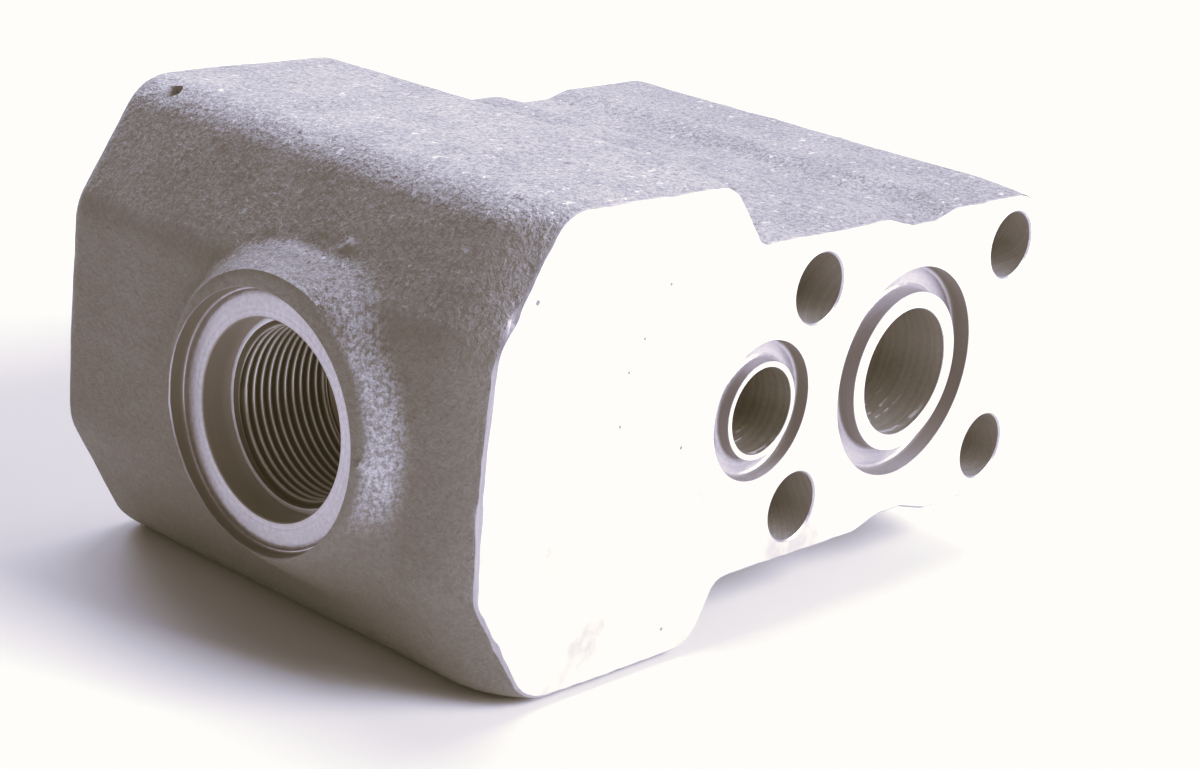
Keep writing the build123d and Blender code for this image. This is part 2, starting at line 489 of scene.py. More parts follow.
for q in g:
    if all(math.hypot(q[0] - w[0], q[1] - w[1]) > 0.24 for w in keep_g):
        keep_g.append(q)
g = np.array(keep_g)
g = g[np.hypot(g[:, 0] - PORT_Y, g[:, 1] - PORT_Z) - SEAT_R - 0.22 > 0.3]
free = free[nearest(free, g) > 0.36]
free = np.concatenate([free, g])
free = free[nearest(free, loop_yz) > 0.35]
hole_p = boss_points(hole_yz[:, 0], hole_yz[:, 1], 0.8)
hole_ids = put(hole_p)
free_ids = put(boss_points(free[:, 0], free[:, 1], 0.6))
fill([loop_yz, hole_yz], [loop_ids, hole_ids], free, free_ids, SKIN, [hole_yz])

# --- threaded port -----------------------------------------------------------


def port_ring(x, r):
    return put(np.stack([np.full(K, x) if np.isscalar(x) else x, PORT_Y + r * ct, PORT_Z + r * st], 1))


loops = [hole_ids]
mouth = port_ring(hole_p[:, 0] + 0.3, SEAT_R)
strip(hole_ids, mouth, EDGE)
xf = PORT_X + SEAT_D
prof = [(PORT_X + 1.6, SEAT_R), (xf - 0.85, SEAT_R), (xf - 0.5, SEAT_R - 0.06), (xf - 0.12, SEAT_R - 0.3),
        (xf + 0.16, SEAT_R - 0.55), (xf + 0.2, SEAT_R - 0.85), (xf, SEAT_R - 1.15)]
seq = [mouth] + [port_ring(x, r) for x, r in prof]
seq += [port_ring(xf, r) for r in (27.0, 25.4, 23.9, CB_R + 0.25)]
xc = xf + CB_D
seq += [port_ring(xf + 0.25, CB_R)] + [port_ring(x, CB_R) for x in (xf + 2.6, xf + 5.0, xc - 0.35)]
seq += [port_ring(xc - 0.08, CB_R - 0.1), port_ring(xc, CB_R - 0.35), port_ring(xc, 21.7)]
rings(seq, PORT)
lip = port_ring(xc, MAJOR + 0.02)
strip(seq[-1], lip, PORT)


def thread_r(x, theta):
    t = (x - CREST0) / PITCH - theta / (2 * math.pi)
    t = (t - np.round(t)) * PITCH
    a = np.abs(t)
    b = PITCH / 2 - a
    cosf, sinf = math.cos(math.radians(27.5)), math.sin(math.radians(27.5))
    ta = TR * cosf
    crest = MINOR + TR - np.sqrt(np.maximum(TR * TR - a * a, 0))
    root = MAJOR - TR + np.sqrt(np.maximum(TR * TR - b * b, 0))
    flank = MINOR + TR * (1 - sinf) + (a - ta) / math.tan(math.radians(27.5))
    r = np.where(a < ta, crest, np.where(b < ta, root, flank))
    r = np.maximum(r, MINOR + 0.07)
    r = np.maximum(r, MAJOR + 0.02 - np.maximum(x - xc, 0) * 1.35)
    out = (x - (xc + THREAD_L - 2.6)) / 2.6
    return np.where(out > 0, r + (MINOR + 0.07 - r) * np.clip(out, 0, 1), r)


per = np.array([0, 0.16, 0.281, 0.577, 0.873, 1.02, 1.1545, 1.289, 1.436, 1.732, 2.028, 2.149])
NT = 12 * 10
xo = np.array([PITCH * (j // 12) + per[j % 12] for j in range(NT + 1)])
x_end = CREST0 + xo[-1] + PITCH + 0.5
M = 6
cols_x = []
for i in range(K):
    start = CREST0 + PITCH * i / K
    xa = xc + (start - xc) * np.arange(1, M + 1) / (M + 1)
    xb = start + xo
    xe = xb[-1] + (x_end - xb[-1]) * np.arange(1, M + 1) / (M + 1)
    cols_x.append(np.concatenate([xa, xb, xe]))
cols_x = np.array(cols_x)
theta = np.repeat(th[:, None], cols_x.shape[1], 1)
cr = thread_r(cols_x, theta)
cp = np.stack([cols_x, PORT_Y + cr * np.cos(theta), PORT_Z + cr * np.sin(theta)], 2)
col_ids = put(cp).reshape(cols_x.shape)
x_te = xc + THREAD_L
end_ring = port_ring(x_end, MINOR + 0.07)
cols = [np.concatenate([[lip[i]], col_ids[i], [end_ring[i]]]) for i in range(K)]
for i in range(K - 1):
    for a in range(len(cols[i]) - 1):
        faces.append((cols[i][a], cols[i][a + 1], cols[i + 1][a + 1], cols[i + 1][a]))
        mats.append(THREAD)
A, B = cols[K - 1], cols[0]
ax = np.concatenate([[xc], cols_x[K - 1], [x_end]])
bx = np.concatenate([[xc], cols_x[0], [x_end]])
a = b = 0
while a < len(A) - 1 or b < len(B) - 1:
    if b == len(B) - 1 or (a < len(A) - 1 and ax[a + 1] <= bx[b + 1]):
        faces.append((A[a], A[a + 1], B[b]))
        a += 1
    else:
        faces.append((A[a], B[b + 1], B[b]))
        b += 1
    mats.append(THREAD)
neck = x_te + (MINOR - GALLERY_R) / math.tan(math.radians(59))
tail = [end_ring]
if x_te > x_end + 0.3:
    tail.append(port_ring(x_te, MINOR + 0.07))
for t in (0.33, 0.66, 1.0):
    tail.append(port_ring(max(x_te, x_end) + (neck - x_te) * t, MINOR + (GALLERY_R - MINOR) * t))
tail.append(port_ring(neck + 6.0, GALLERY_R))
rings(tail, GALLERY)
faces.append(tuple(tail[-1]))
mats.append(GALLERY)
GAL_X0 = neck + 3.0
GAL_X1 = 4.0

# --- face ports --------------------------------------------------------------
KP = 128


def face_ring(x, z, y, r, n):
    t = 2 * math.pi * np.arange(n) / n
    return put(np.stack([x + r * np.cos(t), np.full(n, y), z + r * np.sin(t)], 1))


face_loops, face_loop_ids = [], []


def ported(d, mat, bore):
    x, g, l, gd, r = d["x"], d["groove"], d["land"], d["gd"], d["r"]
    n = KP
    out = face_ring(x, 0, 0, g + 0.12, n)
    face_loops.append(np.stack([x + (g + 0.12) * np.cos(2 * math.pi * np.arange(n) / n),
                                (g + 0.12) * np.sin(2 * math.pi * np.arange(n) / n)], 1))
    face_loop_ids.append(out)
    seq = [out, face_ring(x, 0, 0.12, g, n), face_ring(x, 0, (gd - FOOT) * 0.55, g, n)]
    for k in range(6):
        a = math.radians(90 * k / 5)
        seq.append(face_ring(x, 0, gd - FOOT + FOOT * math.sin(a), g - FOOT + FOOT * math.cos(a), n))
    for k in range(6):
        a = math.radians(90 - 90 * k / 5)
        seq.append(face_ring(x, 0, gd - FOOT + FOOT * math.sin(a), l + FOOT - FOOT * math.cos(a), n))
    seq += [face_ring(x, 0, (gd - FOOT) * 0.55, l, n), face_ring(x, 0, 0.12, l, n), face_ring(x, 0, 0, l - 0.12, n)]
    rings(seq, mat)
    inner = face_ring(x, 0, 0, r + 0.14, n)
    strip(seq[-1], inner, FACE)
    depth = d["depth"]
    walls = [inner, face_ring(x, 0, 0.14, r, n)]
    for y in np.linspace(3.0, depth, 16):
        walls.append(face_ring(x, 0, y, r, n))
    tip = (r - 1.0) / math.tan(math.radians(59))
    for t in (0.35, 0.7, 1.0):
        walls.append(face_ring(x, 0, depth + tip * t, r - (r - 1.0) * t, n))
    rings(walls, bore)
    faces.append(tuple(walls[-1]))
    mats.append(bore)


ported(MAIN, MAINP, BORE_M)
ported(SIDE, SIDEP, BORE_S)

back_loops, back_loop_ids = [], []
KB = 64
tb = 2 * math.pi * np.arange(KB) / KB
for bx_, bz_ in BOLTS:
    seq = [face_ring(bx_, bz_, 0, BOLT_R + 0.4, KB), face_ring(bx_, bz_, 0.4, BOLT_R, KB)]
    for y in np.linspace(6, DEPTH - 6, 12):
        seq.append(face_ring(bx_, bz_, y, BOLT_R, KB))
    seq += [face_ring(bx_, bz_, DEPTH - 0.4, BOLT_R, KB), face_ring(bx_, bz_, DEPTH, BOLT_R + 0.4, KB)]
    rings(seq[:2], EDGE)
    rings(seq[1:-1], DRILL)
    rings(seq[-2:], EDGE)
    c = np.stack([bx_ + (BOLT_R + 0.4) * np.cos(tb), bz_ + (BOLT_R + 0.4) * np.sin(tb)], 1)
    face_loops.append(c)
    face_loop_ids.append(seq[0])
    back_loops.append(c)
    back_loop_ids.append(seq[-1])

# --- milled face -------------------------------------------------------------
first = rows[0]
rel0 = first[:, [0, 2]] - face_n * cham[:, None]
rim = np.stack([rel0[:, 0], np.zeros(N), rel0[:, 1]], 1)
rim_ids = put(rim)
strip(rim_ids, ids[0], EDGE)
g = hexgrid(-150, 56, -58, 60, 3.1, 0.06, 5)
g = g[inside(rim[:, [0, 2]], g)]
for lp in face_loops:
    g = g[~inside(lp, g)]
g = g[nearest(g, np.concatenate([rim[:, [0, 2]]] + face_loops)) > 1.5]
gi = put(np.stack([g[:, 0], np.zeros(len(g)), g[:, 1]], 1))
fill([rim[:, [0, 2]]] + face_loops, [rim_ids] + face_loop_ids, g, gi, FACE, face_loops)

# --- cast back ---------------------------------------------------------------
last = rows[-1]
g = hexgrid(-150, 56, -58, 60, 1.9, 0.1, 6)
loop0 = last[:, [0, 2]]
g = g[inside(loop0, g)]
for lp in back_loops:
    g = g[~inside(lp, g)]
g = g[nearest(g, np.concatenate([loop0] + back_loops)) > 1.1]
p = np.stack([g[:, 0], np.full(len(g), DEPTH), g[:, 1]], 1)
hole_gap = np.min([np.hypot(g[:, 0] - x, g[:, 1] - z) for x, z in BOLTS], 0) - BOLT_R
p[:, 1] += (relief(p) - 0.12) * smooth(0.3, 4.0, hole_gap)
gi = put(p)
fill([loop0] + back_loops, [ids[-1]] + back_loop_ids, g, gi, SKIN, back_loops)

# ---------------------------------------------------------------------------
# Into Blender
# ---------------------------------------------------------------------------
co = np.concatenate(verts)
co_m = (co + np.array([BX, FY, MZ])) / 1000.0
me = bpy.data.meshes.new("casting")
me.from_pydata(co_m.tolist(), [], [tuple(int(q) for q in f) for f in faces])
me.polygons.foreach_set("material_index", np.array(mats, np.int32))
bm = bmesh.new()
bm.from_mesh(me)
bmesh.ops.recalc_face_normals(bm, faces=bm.faces)
open_edges = [e for e in bm.edges if len(e.link_faces) != 2]
loose = [v for v in bm.verts if not v.link_faces]
print("mesh", len(bm.verts), len(bm.faces), "open or bad edges", len(open_edges), "loose", len(loose),
      "volume cm3", bm.calc_volume() * 1e6)
if open_edges:
    for e in open_edges[:10]:
        print([tuple(round(c * 1000, 2) for c in v.co) for v in e.verts], len(e.link_faces))
if loose:
    bmesh.ops.delete(bm, geom=loose, context="VERTS")
bm.to_mesh(me)
bm.free()
block = bpy.data.objects.new("casting", me)
bpy.context.scene.collection.objects.link(block)

# --- cross gallery, cut through both face bores ------------------------------


def cylinder(x0, x1, y, z, r, n, mat):
    t = 2 * math.pi * (np.arange(n) + 0.5) / n
    bmc = bmesh.new()
    xs = np.linspace(x0, x1, 40)
    prev = None
    for x in xs:
        ring = [bmc.verts.new(((x + BX) / 1000, (y + r * math.cos(q) + FY) / 1000,
                               (z + r * math.sin(q) + MZ) / 1000)) for q in t]
        if prev:
            for k in range(n):
                bmc.faces.new((prev[k], prev[(k + 1) % n], ring[(k + 1) % n], ring[k]))
        else:
            bmc.faces.new(ring)
        prev = ring
    bmc.faces.new(prev)
    bmesh.ops.recalc_face_normals(bmc, faces=bmc.faces)
    for f in bmc.faces:
        f.material_index = mat
    m = bpy.data.meshes.new("cutter")
    bmc.to_mesh(m)
    bmc.free()
    o = bpy.data.objects.new("cutter", m)
    bpy.context.scene.collection.objects.link(o)
    return o


def cut(target, cutter):
    mod = target.modifiers.new("cut", "BOOLEAN")
    mod.operation = "DIFFERENCE"
    mod.solver = "EXACT"
    mod.object = cutter
    dg = bpy.context.evaluated_depsgraph_get()
    new = bpy.data.meshes.new_from_object(target.evaluated_get(dg), preserve_all_data_layers=True, depsgraph=dg)
    target.modifiers.clear()
    old = target.data
    target.data = new
    bpy.data.meshes.remove(old)
    bpy.data.objects.remove(cutter)


# ---------------------------------------------------------------------------
# Materials
# ---------------------------------------------------------------------------
def new_mat(name):
    m = bpy.data.materials.new(name)
    m.use_nodes = True
    nt = m.node_tree
    nt.nodes.clear()
    out = nt.nodes.new("ShaderNodeOutputMaterial")
    bsdf = nt.nodes.new("ShaderNodeBsdfPrincipled")
    nt.links.new(bsdf.outputs[0], out.inputs[0])
    return m, nt, bsdf


class Nodes:
    def __init__(self, nt):
        self.nt = nt
        self.coord = nt.nodes.new("ShaderNodeTexCoord").outputs["Object"]

    def put(self, sock, value):
        if hasattr(value, "is_output") or isinstance(value, bpy.types.NodeSocket):
            self.nt.links.new(value, sock)
        else:
            sock.default_value = value

    def noise(self, scale, detail=2.0, rough=0.5, vec=None, w=None, dim=None, lac=2.0):
        n = self.nt.nodes.new("ShaderNodeTexNoise")
        if w is not None and vec is None:
            n.noise_dimensions = "1D"
            self.put(n.inputs["W"], w)
        else:
            self.put(n.inputs["Vector"], vec if vec is not None else self.coord)
        n.inputs["Scale"].default_value = scale
        n.inputs["Detail"].default_value = detail
        n.inputs["Roughness"].default_value = rough
        n.inputs["Lacunarity"].default_value = lac
        return n.outputs[0]

    def voronoi(self, scale, feature="F1", rand=1.0, vec=None, smoothness=None):
        n = self.nt.nodes.new("ShaderNodeTexVoronoi")
        n.feature = feature
        self.put(n.inputs["Vector"], vec if vec is not None else self.coord)
        n.inputs["Scale"].default_value = scale
        n.inputs["Randomness"].default_value = rand
        return n.outputs["Distance"]

    def math(self, op, a, b=0.0, c=0.0, clamp=False):
        n = self.nt.nodes.new("ShaderNodeMath")
        n.operation = op
        n.use_clamp = clamp
        for k, v in enumerate((a, b, c)):
            self.put(n.inputs[k], v)
        return n.outputs[0]

    def ramp(self, fac, lo_, hi_, a=0.0, b=1.0):
        n = self.nt.nodes.new("ShaderNodeMapRange")
        n.interpolation_type = "SMOOTHSTEP"
        self.put(n.inputs["Value"], fac)
        n.inputs["From Min"].default_value = lo_
        n.inputs["From Max"].default_value = hi_
        n.inputs["To Min"].default_value = a
        n.inputs["To Max"].default_value = b
        return n.outputs["Result"]

    def mix(self, fac, a, b, mode="MIX"):
        n = self.nt.nodes.new("ShaderNodeMix")
        n.data_type = "RGBA"
        n.blend_type = mode
        self.put(n.inputs[0], fac)
        self.put(n.inputs[6], a)
        self.put(n.inputs[7], b)
        return n.outputs[2]

    def xyz(self):
        n = self.nt.nodes.new("ShaderNodeSeparateXYZ")
        self.put(n.inputs[0], self.coord)
        return n.outputs

    def scaled(self, s):
        n = self.nt.nodes.new("ShaderNodeVectorMath")
        n.operation = "MULTIPLY"
        self.put(n.inputs[0], self.coord)
        n.inputs[1].default_value = s
        return n.outputs[0]

    def bump(self, height, dist, strength=1.0, normal=None):
        n = self.nt.nodes.new("ShaderNodeBump")
        n.inputs["Distance"].default_value = dist
        n.inputs["Strength"].default_value = strength
        self.put(n.inputs["Height"], height)
        if normal is not None:
            self.nt.links.new(normal, n.inputs["Normal"])
        return n.outputs[0]


def rgb(r, g, b):
    return (r, g, b, 1.0)


def cast_skin():
    m, nt, b = new_mat("cast_skin")
    n = Nodes(nt)
    o = n.xyz()
    grain = n.noise(2100, 3.0, 0.65)
    grit = n.noise(900, 3.0, 0.65)
    clump = n.noise(330, 3.0, 0.6)
    blotch = n.noise(60, 4.0, 0.65)
    wide = n.noise(16, 2.0, 0.5)
    # skin that faces up gets lighter highs, darker lows, stronger dark flecks and bright flecks: painted light,
    # shade and glints of grazing light on its grain
    geo = nt.nodes.new("ShaderNodeNewGeometry")
    up = nt.nodes.new("ShaderNodeSeparateXYZ")
    nt.links.new(geo.outputs["Normal"], up.inputs[0])
    top = n.ramp(up.outputs[2], 0.25, 0.9)
    tone = n.math("ADD", n.math("MULTIPLY", n.ramp(grain, 0.38, 0.62), 0.30),
                  n.math("MULTIPLY", n.ramp(grit, 0.40, 0.60), 0.38))
    tone = n.math("ADD", tone, n.math("MULTIPLY", n.ramp(blotch, 0.35, 0.66), 0.18))
    tone = n.math("ADD", tone, n.math("MULTIPLY", n.ramp(wide, 0.38, 0.64), 0.14))
    low = n.mix(top, rgb(0.208, 0.203, 0.196), rgb(0.165, 0.163, 0.165))
    high = n.mix(top, rgb(0.288, 0.283, 0.278), rgb(0.520, 0.520, 0.530))
    col = n.mix(tone, low, high)
    # dark flecks of the grain, made stronger on up-facing skin as painted shade
    fleck = n.math("MULTIPLY", n.ramp(n.noise(620, 4.0, 0.7), 0.55, 0.64), n.ramp(clump, 0.38, 0.55))
    col = n.mix(n.math("MULTIPLY", fleck, n.ramp(top, 0.0, 1.0, 0.22, 0.72)), col, rgb(0.085, 0.08, 0.078))
    # bright flecks on up-facing skin: painted glints, also raised a little in the bump
    scale = n.math("MULTIPLY", n.ramp(n.noise(420, 4.0, 0.7, vec=n.scaled((0.8, 1.0, 1.0))), 0.60, 0.67), top)
    col = n.mix(n.math("MULTIPLY", scale, 0.75), col, rgb(0.78, 0.78, 0.80))
    # painted highlight: the shoulder of the boss is painted bright on the side towards the face, where the key
    # light falls on it
    r = radial(n, "X", ((BOSS_Y + FY) / 1000, (BOSS_Z + MZ) / 1000))
    out = n.math("MULTIPLY", n.ramp(r, 0.0292, 0.0322), n.ramp(r, 0.0345, 0.0400, 1.0, 0.0))
    out = n.math("MULTIPLY", out, n.ramp(o[0], -0.0955, -0.0975))
    flank_highlight = n.math("MULTIPLY", out, n.ramp(o[1], (BOSS_Y + FY - 2) / 1000, (BOSS_Y + FY - 22) / 1000))
    flank_highlight = n.math("MULTIPLY", flank_highlight, n.ramp(o[2], 0.036, 0.052))
    flank_highlight = n.math("MULTIPLY", flank_highlight, n.ramp(grit, 0.38, 0.60, 0.25, 1.0))
    flank_highlight = n.math("MULTIPLY", flank_highlight, n.ramp(grain, 0.38, 0.60, 0.45, 1.0))
    col = n.mix(n.math("MULTIPLY", flank_highlight, 0.85), col, rgb(0.74, 0.74, 0.78))
    # two knocked lumps show bare metal
    for sx_, sy_, sz_, sr_ in ((PORT_X + 0.8, 25.5, -1.4, 1.25), (-146.0, 47.0, 38.8, 1.2)):
        v_ = nt.nodes.new("ShaderNodeVectorMath")
        v_.operation = "DISTANCE"
        nt.links.new(n.coord, v_.inputs[0])
        v_.inputs[1].default_value = ((sx_ + BX) / 1000, (sy_ + FY) / 1000, (sz_ + MZ) / 1000)
        spot = n.math("MULTIPLY", n.ramp(v_.outputs["Value"], sr_ * 0.0005, sr_ * 0.001, 1.0, 0.0), n.ramp(grain, 0.3, 0.5, 0.5, 1.0))
        col = n.mix(n.math("MULTIPLY", spot, 0.9), col, rgb(0.86, 0.86, 0.90))
    # painted shade: the upper part of the boss shoulder is darkened
    upper = n.math("MULTIPLY", out, n.ramp(o[2], 0.074, 0.082))
    col = n.mix(n.math("MULTIPLY", upper, 0.38), col, rgb(0.10, 0.095, 0.09))
    nt.links.new(col, b.inputs["Base Color"])
    spark = n.ramp(n.noise(1250, 2.0, 0.6), 0.56, 0.68)
    rough = n.math("SUBTRACT", n.ramp(clump, 0.3, 0.7, 0.66, 0.52), n.math("MULTIPLY", spark, 0.24))
    nt.links.new(rough, b.inputs["Roughness"])
    b.inputs["Metallic"].default_value = 0.12
    b.inputs["Specular IOR Level"].default_value = 0.6
    h = n.math("ADD", n.math("MULTIPLY", grain, 0.30), n.math("MULTIPLY", grit, 0.70))
    soft = n.ramp(top, 0.0, 1.0, 0.55, 1.0)
    nor = n.bump(n.math("MULTIPLY", n.math("ADD", clump, n.math("MULTIPLY", scale, 0.2)), soft), 0.00095, 0.8)
    nor = n.bump(n.math("MULTIPLY", h, soft), 0.00090, 0.9, nor)
    nt.links.new(nor, b.inputs["Normal"])
    return m


PORES = [(-134.7, 37.9, 0.75), (-93.0, 35.8, 0.5), (-99.8, 24.6, 0.45), (-103.8, 17.6, 0.45), (-104.8, 5.5, 0.45),
         (-83.2, -3.5, 0.5), (-82.7, -47.4, 0.5)]


def milled():
    m, nt, b = new_mat("milled_face")
    n = Nodes(nt)
    o = n.xyz()
    blotch = n.noise(42, 4.0, 0.6)
    fine = n.noise(260, 2.0, 0.5)
    stain = n.math("MULTIPLY", n.ramp(blotch, 0.52, 0.68), n.ramp(fine, 0.30, 0.62, 0.4, 1.0))
    col = n.mix(stain, rgb(0.74, 0.73, 0.71), rgb(0.575, 0.555, 0.555))
    dot = n.ramp(n.voronoi(75), 0.028, 0.05, 1.0, 0.0)
    dot = n.math("MULTIPLY", dot, n.ramp(n.noise(23, 1.0, 0.5), 0.56, 0.6))
    # a few open pores in the iron
    for px_, pz_, pr_ in PORES:
        off = n.math("ADD", n.math("POWER", n.math("SUBTRACT", o[0], (px_ + BX) / 1000), 2.0),
                     n.math("POWER", n.math("SUBTRACT", o[2], (pz_ + MZ) / 1000), 2.0))
        dot = n.math("MAXIMUM", dot, n.ramp(n.math("SQRT", off), pr_ * 0.0006, pr_ * 0.001, 1.0, 0.0))
    col = n.mix(n.math("MULTIPLY", dot, 0.8), col, rgb(0.12, 0.11, 0.12))
    nt.links.new(col, b.inputs["Base Color"])
    nt.links.new(n.ramp(fine, 0.3, 0.7, 0.34, 0.44), b.inputs["Roughness"])
    b.inputs["Metallic"].default_value = 0.75
    feed = n.noise(1.0, 2.0, 0.5, vec=n.scaled((900.0, 20.0, 60.0)))
    nor = n.bump(n.math("SUBTRACT", feed, n.math("MULTIPLY", dot, 2.0)), 0.00002, 0.6)
    nt.links.new(nor, b.inputs["Normal"])
    return m


def radial(n, axis, centre):
    """Distance from an axis along X or Y, in metres, as a socket."""
    o = n.xyz()
    p, q = (o[1], o[2]) if axis == "X" else (o[0], o[2])
    a = n.math("SUBTRACT", p, centre[0])
    c = n.math("SUBTRACT", q, centre[1])
    return n.math("SQRT", n.math("ADD", n.math("MULTIPLY", a, a), n.math("MULTIPLY", c, c)))


def turned(name, axis, centre, along_wall=False, light=(0.62, 0.60, 0.62), dark=(0.42, 0.40, 0.42),
           rough=(0.28, 0.4), metal=0.9, depth=0.00005, scale=2600.0, grit=0.35, walls=(), arcs=None):
    m, nt, b = new_mat(name)
    n = Nodes(nt)
    o = n.xyz()
    r = radial(n, axis, centre)
    along = o[0] if axis == "X" else o[1]
    tool = n.math("ADD", r, along)
    line = n.noise(scale, 2.0, 0.65, w=tool)
    coarse = n.noise(scale * 0.22, 1.0, 0.5, w=tool)
    speck = n.noise(900, 3.0, 0.65)
    soft = n.noise(70, 2.0, 0.5)
    f = n.math("ADD", n.math("MULTIPLY", n.ramp(line, 0.3, 0.7), 0.45), n.math("MULTIPLY", n.ramp(speck, 0.35, 0.7), grit))
    f = n.math("ADD", f, n.math("MULTIPLY", n.ramp(soft, 0.3, 0.7), 0.2))
    col = n.mix(f, rgb(*dark), rgb(*light))
    met = None
    # bands at given radii get their own tint and less metal: dark tints paint shade on recess walls and thread
    # roots, a pale tint paints light on a shaded floor ring
    for rr, half, edge, fac, tint in walls:
        off = n.math("ABSOLUTE", n.math("SUBTRACT", r, rr / 1000))
        m_ = n.ramp(off, half / 1000, (half + edge) / 1000, fac, 0.0)
        col = n.mix(m_, col, rgb(*tint))
        met = m_ if met is None else n.math("MAXIMUM", met, m_)
    if arcs:
        # swarf has scored a few bright arcs low in the bore
        sc_ring = n.noise(520.0, 1.0, 0.5, w=n.math("ADD", along, n.math("MULTIPLY", o[2], 0.25)))
        arc = n.math("MULTIPLY", n.ramp(sc_ring, 0.60, 0.64), n.ramp(o[2], arcs[0] / 1000, arcs[1] / 1000))
        arc = n.math("MULTIPLY", arc, n.ramp(n.noise(330, 1.0, 0.5), 0.42, 0.58))
        col = n.mix(n.math("MULTIPLY", arc, 0.8), col, rgb(0.92, 0.91, 0.90))
    nt.links.new(col, b.inputs["Base Color"])
    nt.links.new(n.ramp(speck, 0.3, 0.7, rough[0], rough[1]), b.inputs["Roughness"])
    b.inputs["Metallic"].default_value = metal
    if met is not None:
        nt.links.new(n.math("MULTIPLY", n.math("SUBTRACT", 1.0, met), metal), b.inputs["Metallic"])
    nor = n.bump(n.math("ADD", line, n.math("MULTIPLY", coarse, 1.5)), depth, 0.7)
    nor = n.bump(speck, depth * 1.2, 0.5, nor)
    nt.links.new(nor, b.inputs["Normal"])
    return m


pc = ((PORT_Y + FY) / 1000, (PORT_Z + MZ) / 1000)
mc = (BX / 1000, MZ / 1000)
sc = ((BX + SIDE["x"]) / 1000, MZ / 1000)
mat_list = {
    SKIN: cast_skin(),
    FACE: milled(),
    # port bands: a pale band paints light on the shaded counterbore floor ring; dark bands paint shade on the seat
    # wall and the counterbore wall
    PORT: turned("turned_seat", "X", pc, metal=0.8, grit=0.5, walls=[(20.85, 0.9, 0.35, 0.8, (0.95, 0.94, 0.98)), (30.3, 0.9, 0.35, 0.96, (0.18, 0.165, 0.145)), (22.5, 0.22, 0.15, 0.9, (0.33, 0.31, 0.29))]),
    # the near-black band over the thread flanks and roots is painted shade in the thread grooves
    THREAD: turned("thread", "X", pc, light=(0.80, 0.79, 0.78), dark=(0.58, 0.56, 0.55), rough=(0.3, 0.42), metal=0.55, depth=0.00002, scale=900.0,
                   walls=[(21.3, 1.12, 0.62, 0.97, (0.045, 0.038, 0.030))]),
    # dark bands on the groove walls of both face ports: painted shade
    MAINP: turned("turned_groove_main", "Y", mc, metal=0.7, walls=[(26.6, 0.45, 0.7, 0.92, (0.19, 0.18, 0.17)), (20.0, 0.3, 0.5, 0.72, (0.22, 0.21, 0.21))]),
    SIDEP: turned("turned_groove_side", "Y", sc, metal=0.7, walls=[(17.0, 0.4, 0.6, 0.92, (0.17, 0.16, 0.15)), (11.8, 0.25, 0.45, 0.72, (0.20, 0.19, 0.19))]),
    DRILL: turned("drilled_hole", "Y", mc, light=(0.46, 0.45, 0.44), dark=(0.32, 0.31, 0.30), rough=(0.45, 0.6), metal=0.4, depth=0.00004, scale=900.0),
    EDGE: turned("edge_break", "Y", mc, light=(0.62, 0.60, 0.63), dark=(0.45, 0.43, 0.45), rough=(0.35, 0.5), depth=0.00003),
    BORE_M: turned("bore_main", "Y", mc, arcs=(MZ - 9.5, MZ - 14.0), light=(0.50, 0.49, 0.47), dark=(0.34, 0.33, 0.32), rough=(0.34, 0.46), metal=0.5, depth=0.00008, scale=700.0),
    BORE_S: turned("bore_side", "Y", sc, arcs=(MZ - 7.0, MZ - 9.6), light=(0.40, 0.39, 0.37), dark=(0.26, 0.25, 0.24), rough=(0.34, 0.46), metal=0.5, depth=0.00008, scale=700.0),
    GALLERY: turned("gallery", "X", pc, light=(0.26, 0.23, 0.20), dark=(0.16, 0.14, 0.12), rough=(0.4, 0.55), depth=0.00006, scale=700.0),
}
for k in sorted(mat_list):
    me.materials.append(mat_list[k])
block = bpy.data.objects["casting"]

gal = cylinder(GAL_X0, GAL_X1, PORT_Y, PORT_Z, GALLERY_R - 0.01, 96, GALLERY)
# one small blowhole near the back corner of the upper side
bmh = bmesh.new()
bmh.from_mesh(gal.data)
got = bmesh.ops.create_icosphere(bmh, subdivisions=3, radius=1.0)
hc = np.array([-132.6, 120.6, 55.3])
for v in got["verts"]:
    q = np.array(v.co)
    lump = 1 + 0.16 * perlin(np.array([q * 1.4 + 8.3]))[0]
    q = q * np.array([2.3, 2.1, 2.5]) * lump + hc
    v.co = ((q[0] + BX) / 1000, (q[1] + FY) / 1000, (q[2] + MZ) / 1000)
for f in {f for v in got["verts"] for f in v.link_faces}:
    f.material_index = SKIN
bmh.to_mesh(gal.data)
bmh.free()
for k in sorted(mat_list):
    gal.data.materials.append(mat_list[k])
cut(block, gal)
me = block.data
me.polygons.foreach_set("use_smooth", np.ones(len(me.polygons), bool))
me.set_sharp_from_angle(angle=math.radians(38))
me.update()
me.calc_loop_triangles()
print("final mesh", len(me.vertices), "verts", len(me.loop_triangles), "triangles")

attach(block, "root")
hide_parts(NODE)

# ---------------------------------------------------------------------------
# Floor, light and camera
# ---------------------------------------------------------------------------
fm = bpy.data.meshes.new("floor")
R = 30.0
fm.from_pydata([(-R, -R, 0), (R, -R, 0), (R, R, 0), (-R, R, 0)], [], [(0, 1, 2, 3)])
floor = bpy.data.objects.new("floor", fm)
bpy.context.scene.collection.objects.link(floor)
floor.location.z = cad_lo.z
m, nt, b = new_mat("paper_floor")
n = Nodes(nt)
nt.links.new(n.mix(n.noise(14, 3.0, 0.5), rgb(0.76, 0.755, 0.75), rgb(0.80, 0.795, 0.79)), b.inputs["Base Color"])
b.inputs["Roughness"].default_value = 0.9
b.inputs["Specular IOR Level"].default_value = 0.1
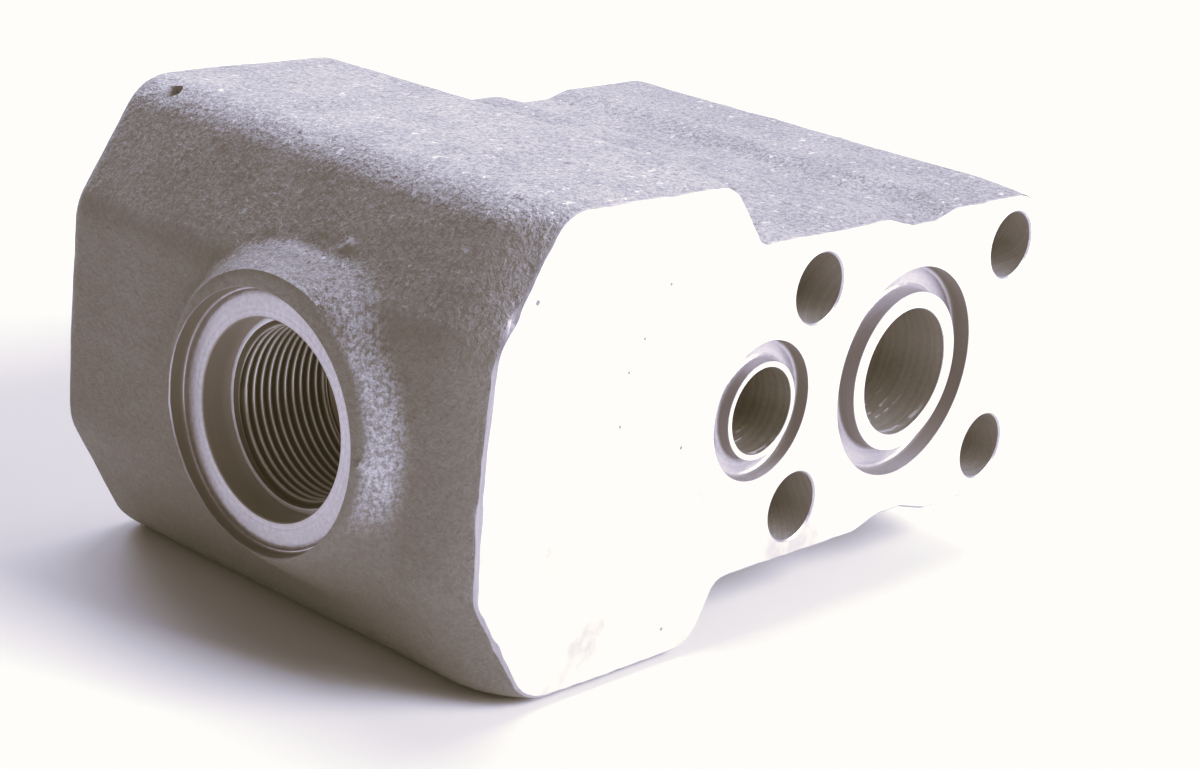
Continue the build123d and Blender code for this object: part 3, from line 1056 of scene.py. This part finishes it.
# the sheet stays pale out to the horizon, far past the reach of the lamps
o_ = n.xyz()
far = n.math("SQRT", n.math("ADD", n.math("MULTIPLY", o_[0], o_[0]), n.math("MULTIPLY", o_[1], o_[1])))
b.inputs["Emission Color"].default_value = rgb(0.98, 0.975, 0.965)
nt.links.new(n.ramp(far, 0.5, 1.8, 0.0, 0.97), b.inputs["Emission Strength"])
fm.materials.append(m)


def area(name, loc, target, size, power, color, size_y=None):
    d = bpy.data.lights.new(name, "AREA")
    d.energy = power
    d.color = color
    d.size = size
    if size_y:
        d.shape = "RECTANGLE"
        d.size_y = size_y
    o = bpy.data.objects.new(name, d)
    bpy.context.scene.collection.objects.link(o)
    o.location = loc
    o.rotation_mode = "QUATERNION"
    o.rotation_quaternion = (Vector(target) - Vector(loc)).to_track_quat("-Z", "Y")
    return o


area("key", (0.52, -1.28, 0.82), (0, 0, 0.05), 0.9, 45, (1.0, 1.0, 1.0))
area("over", (0.34, 0.30, 1.25), (0, 0, 0), 0.8, 8, (0.98, 0.98, 1.0))
area("rim", (1.15, 1.05, 0.62), (0, 0, 0.08), 0.9, 3.5, (0.97, 0.97, 1.0))
area("back", (0.30, 1.40, 0.86), (-0.05, 0.1, 0), 0.9, 16, (0.98, 0.98, 1.0))
area("fill", (-1.3, -0.7, 0.9), (0, 0, 0.05), 0.8, 1.0, (1.0, 0.98, 0.96))

world = bpy.data.worlds.new("world")
bpy.context.scene.world = world
world.use_nodes = True
wt = world.node_tree
wt.nodes.clear()
wo = wt.nodes.new("ShaderNodeOutputWorld")
dim = wt.nodes.new("ShaderNodeBackground")
white = wt.nodes.new("ShaderNodeBackground")
dim.inputs[0].default_value = rgb(0.97, 0.96, 1.0)
dim.inputs[1].default_value = 0.16
white.inputs[0].default_value = rgb(0.99, 0.985, 0.97)
white.inputs[1].default_value = 1.0
lp = wt.nodes.new("ShaderNodeLightPath")
mx = wt.nodes.new("ShaderNodeMixShader")
wt.links.new(lp.outputs["Is Camera Ray"], mx.inputs[0])
wt.links.new(dim.outputs[0], mx.inputs[1])
wt.links.new(white.outputs[0], mx.inputs[2])
wt.links.new(mx.outputs[0], wo.inputs[0])

cd = bpy.data.cameras.new("camera")
cam = bpy.data.objects.new("camera", cd)
bpy.context.scene.collection.objects.link(cam)
cd.sensor_width = 36.0
cd.sensor_fit = "HORIZONTAL"
cd.lens = 36.0 * 2630.1676 / 1200.0
rot = Matrix(((0.672702, 0.166784, -0.720871),
              (-0.733008, 0.283015, -0.618548),
              (0.100853, 0.944503, 0.312638)))
cam.matrix_world = Matrix.Translation((-0.4605367, -0.4097775, 0.2458411)) @ rot.to_4x4()
cd.clip_start, cd.clip_end = 0.01, 100
bpy.context.scene.camera = cam

sc_ = bpy.context.scene
sc_.view_settings.view_transform = "Standard"
sc_.view_settings.look = "None"
sc_.view_settings.exposure = 0.0
sc_.view_settings.gamma = 1.0


def lin(v):
    v = v / 255.0
    return v / 12.92 if v <= 0.04045 else ((v + 0.055) / 1.055) ** 2.4


# a soft print tone: warm shadows that never go quite black, cool middle greys
TONE = [(0, 36, 30, 18), (30, 50, 43, 31), (60, 71, 64, 53), (90, 96, 88, 80), (110, 111, 103, 98),
        (130, 129, 123, 123), (150, 150, 146, 155), (170, 170, 167, 177), (195, 195, 193, 206),
        (215, 215, 212, 221), (235, 234, 231, 235), (255, 254, 253, 249)]
sc_.view_settings.use_curve_mapping = True
cmap = sc_.view_settings.curve_mapping
cmap.extend = "HORIZONTAL"
for ch in range(3):
    c = cmap.curves[ch]
    while len(c.points) > 2:
        c.points.remove(c.points[1])
    c.points[0].location = (0.0, lin(TONE[0][ch + 1]))
    c.points[-1].location = (1.0, lin(TONE[-1][ch + 1]))
    for t in TONE[1:-1]:
        c.points.new(lin(t[0]), lin(t[ch + 1]))
    for q in c.points:
        q.handle_type = "AUTO_CLAMPED"
cmap.update()
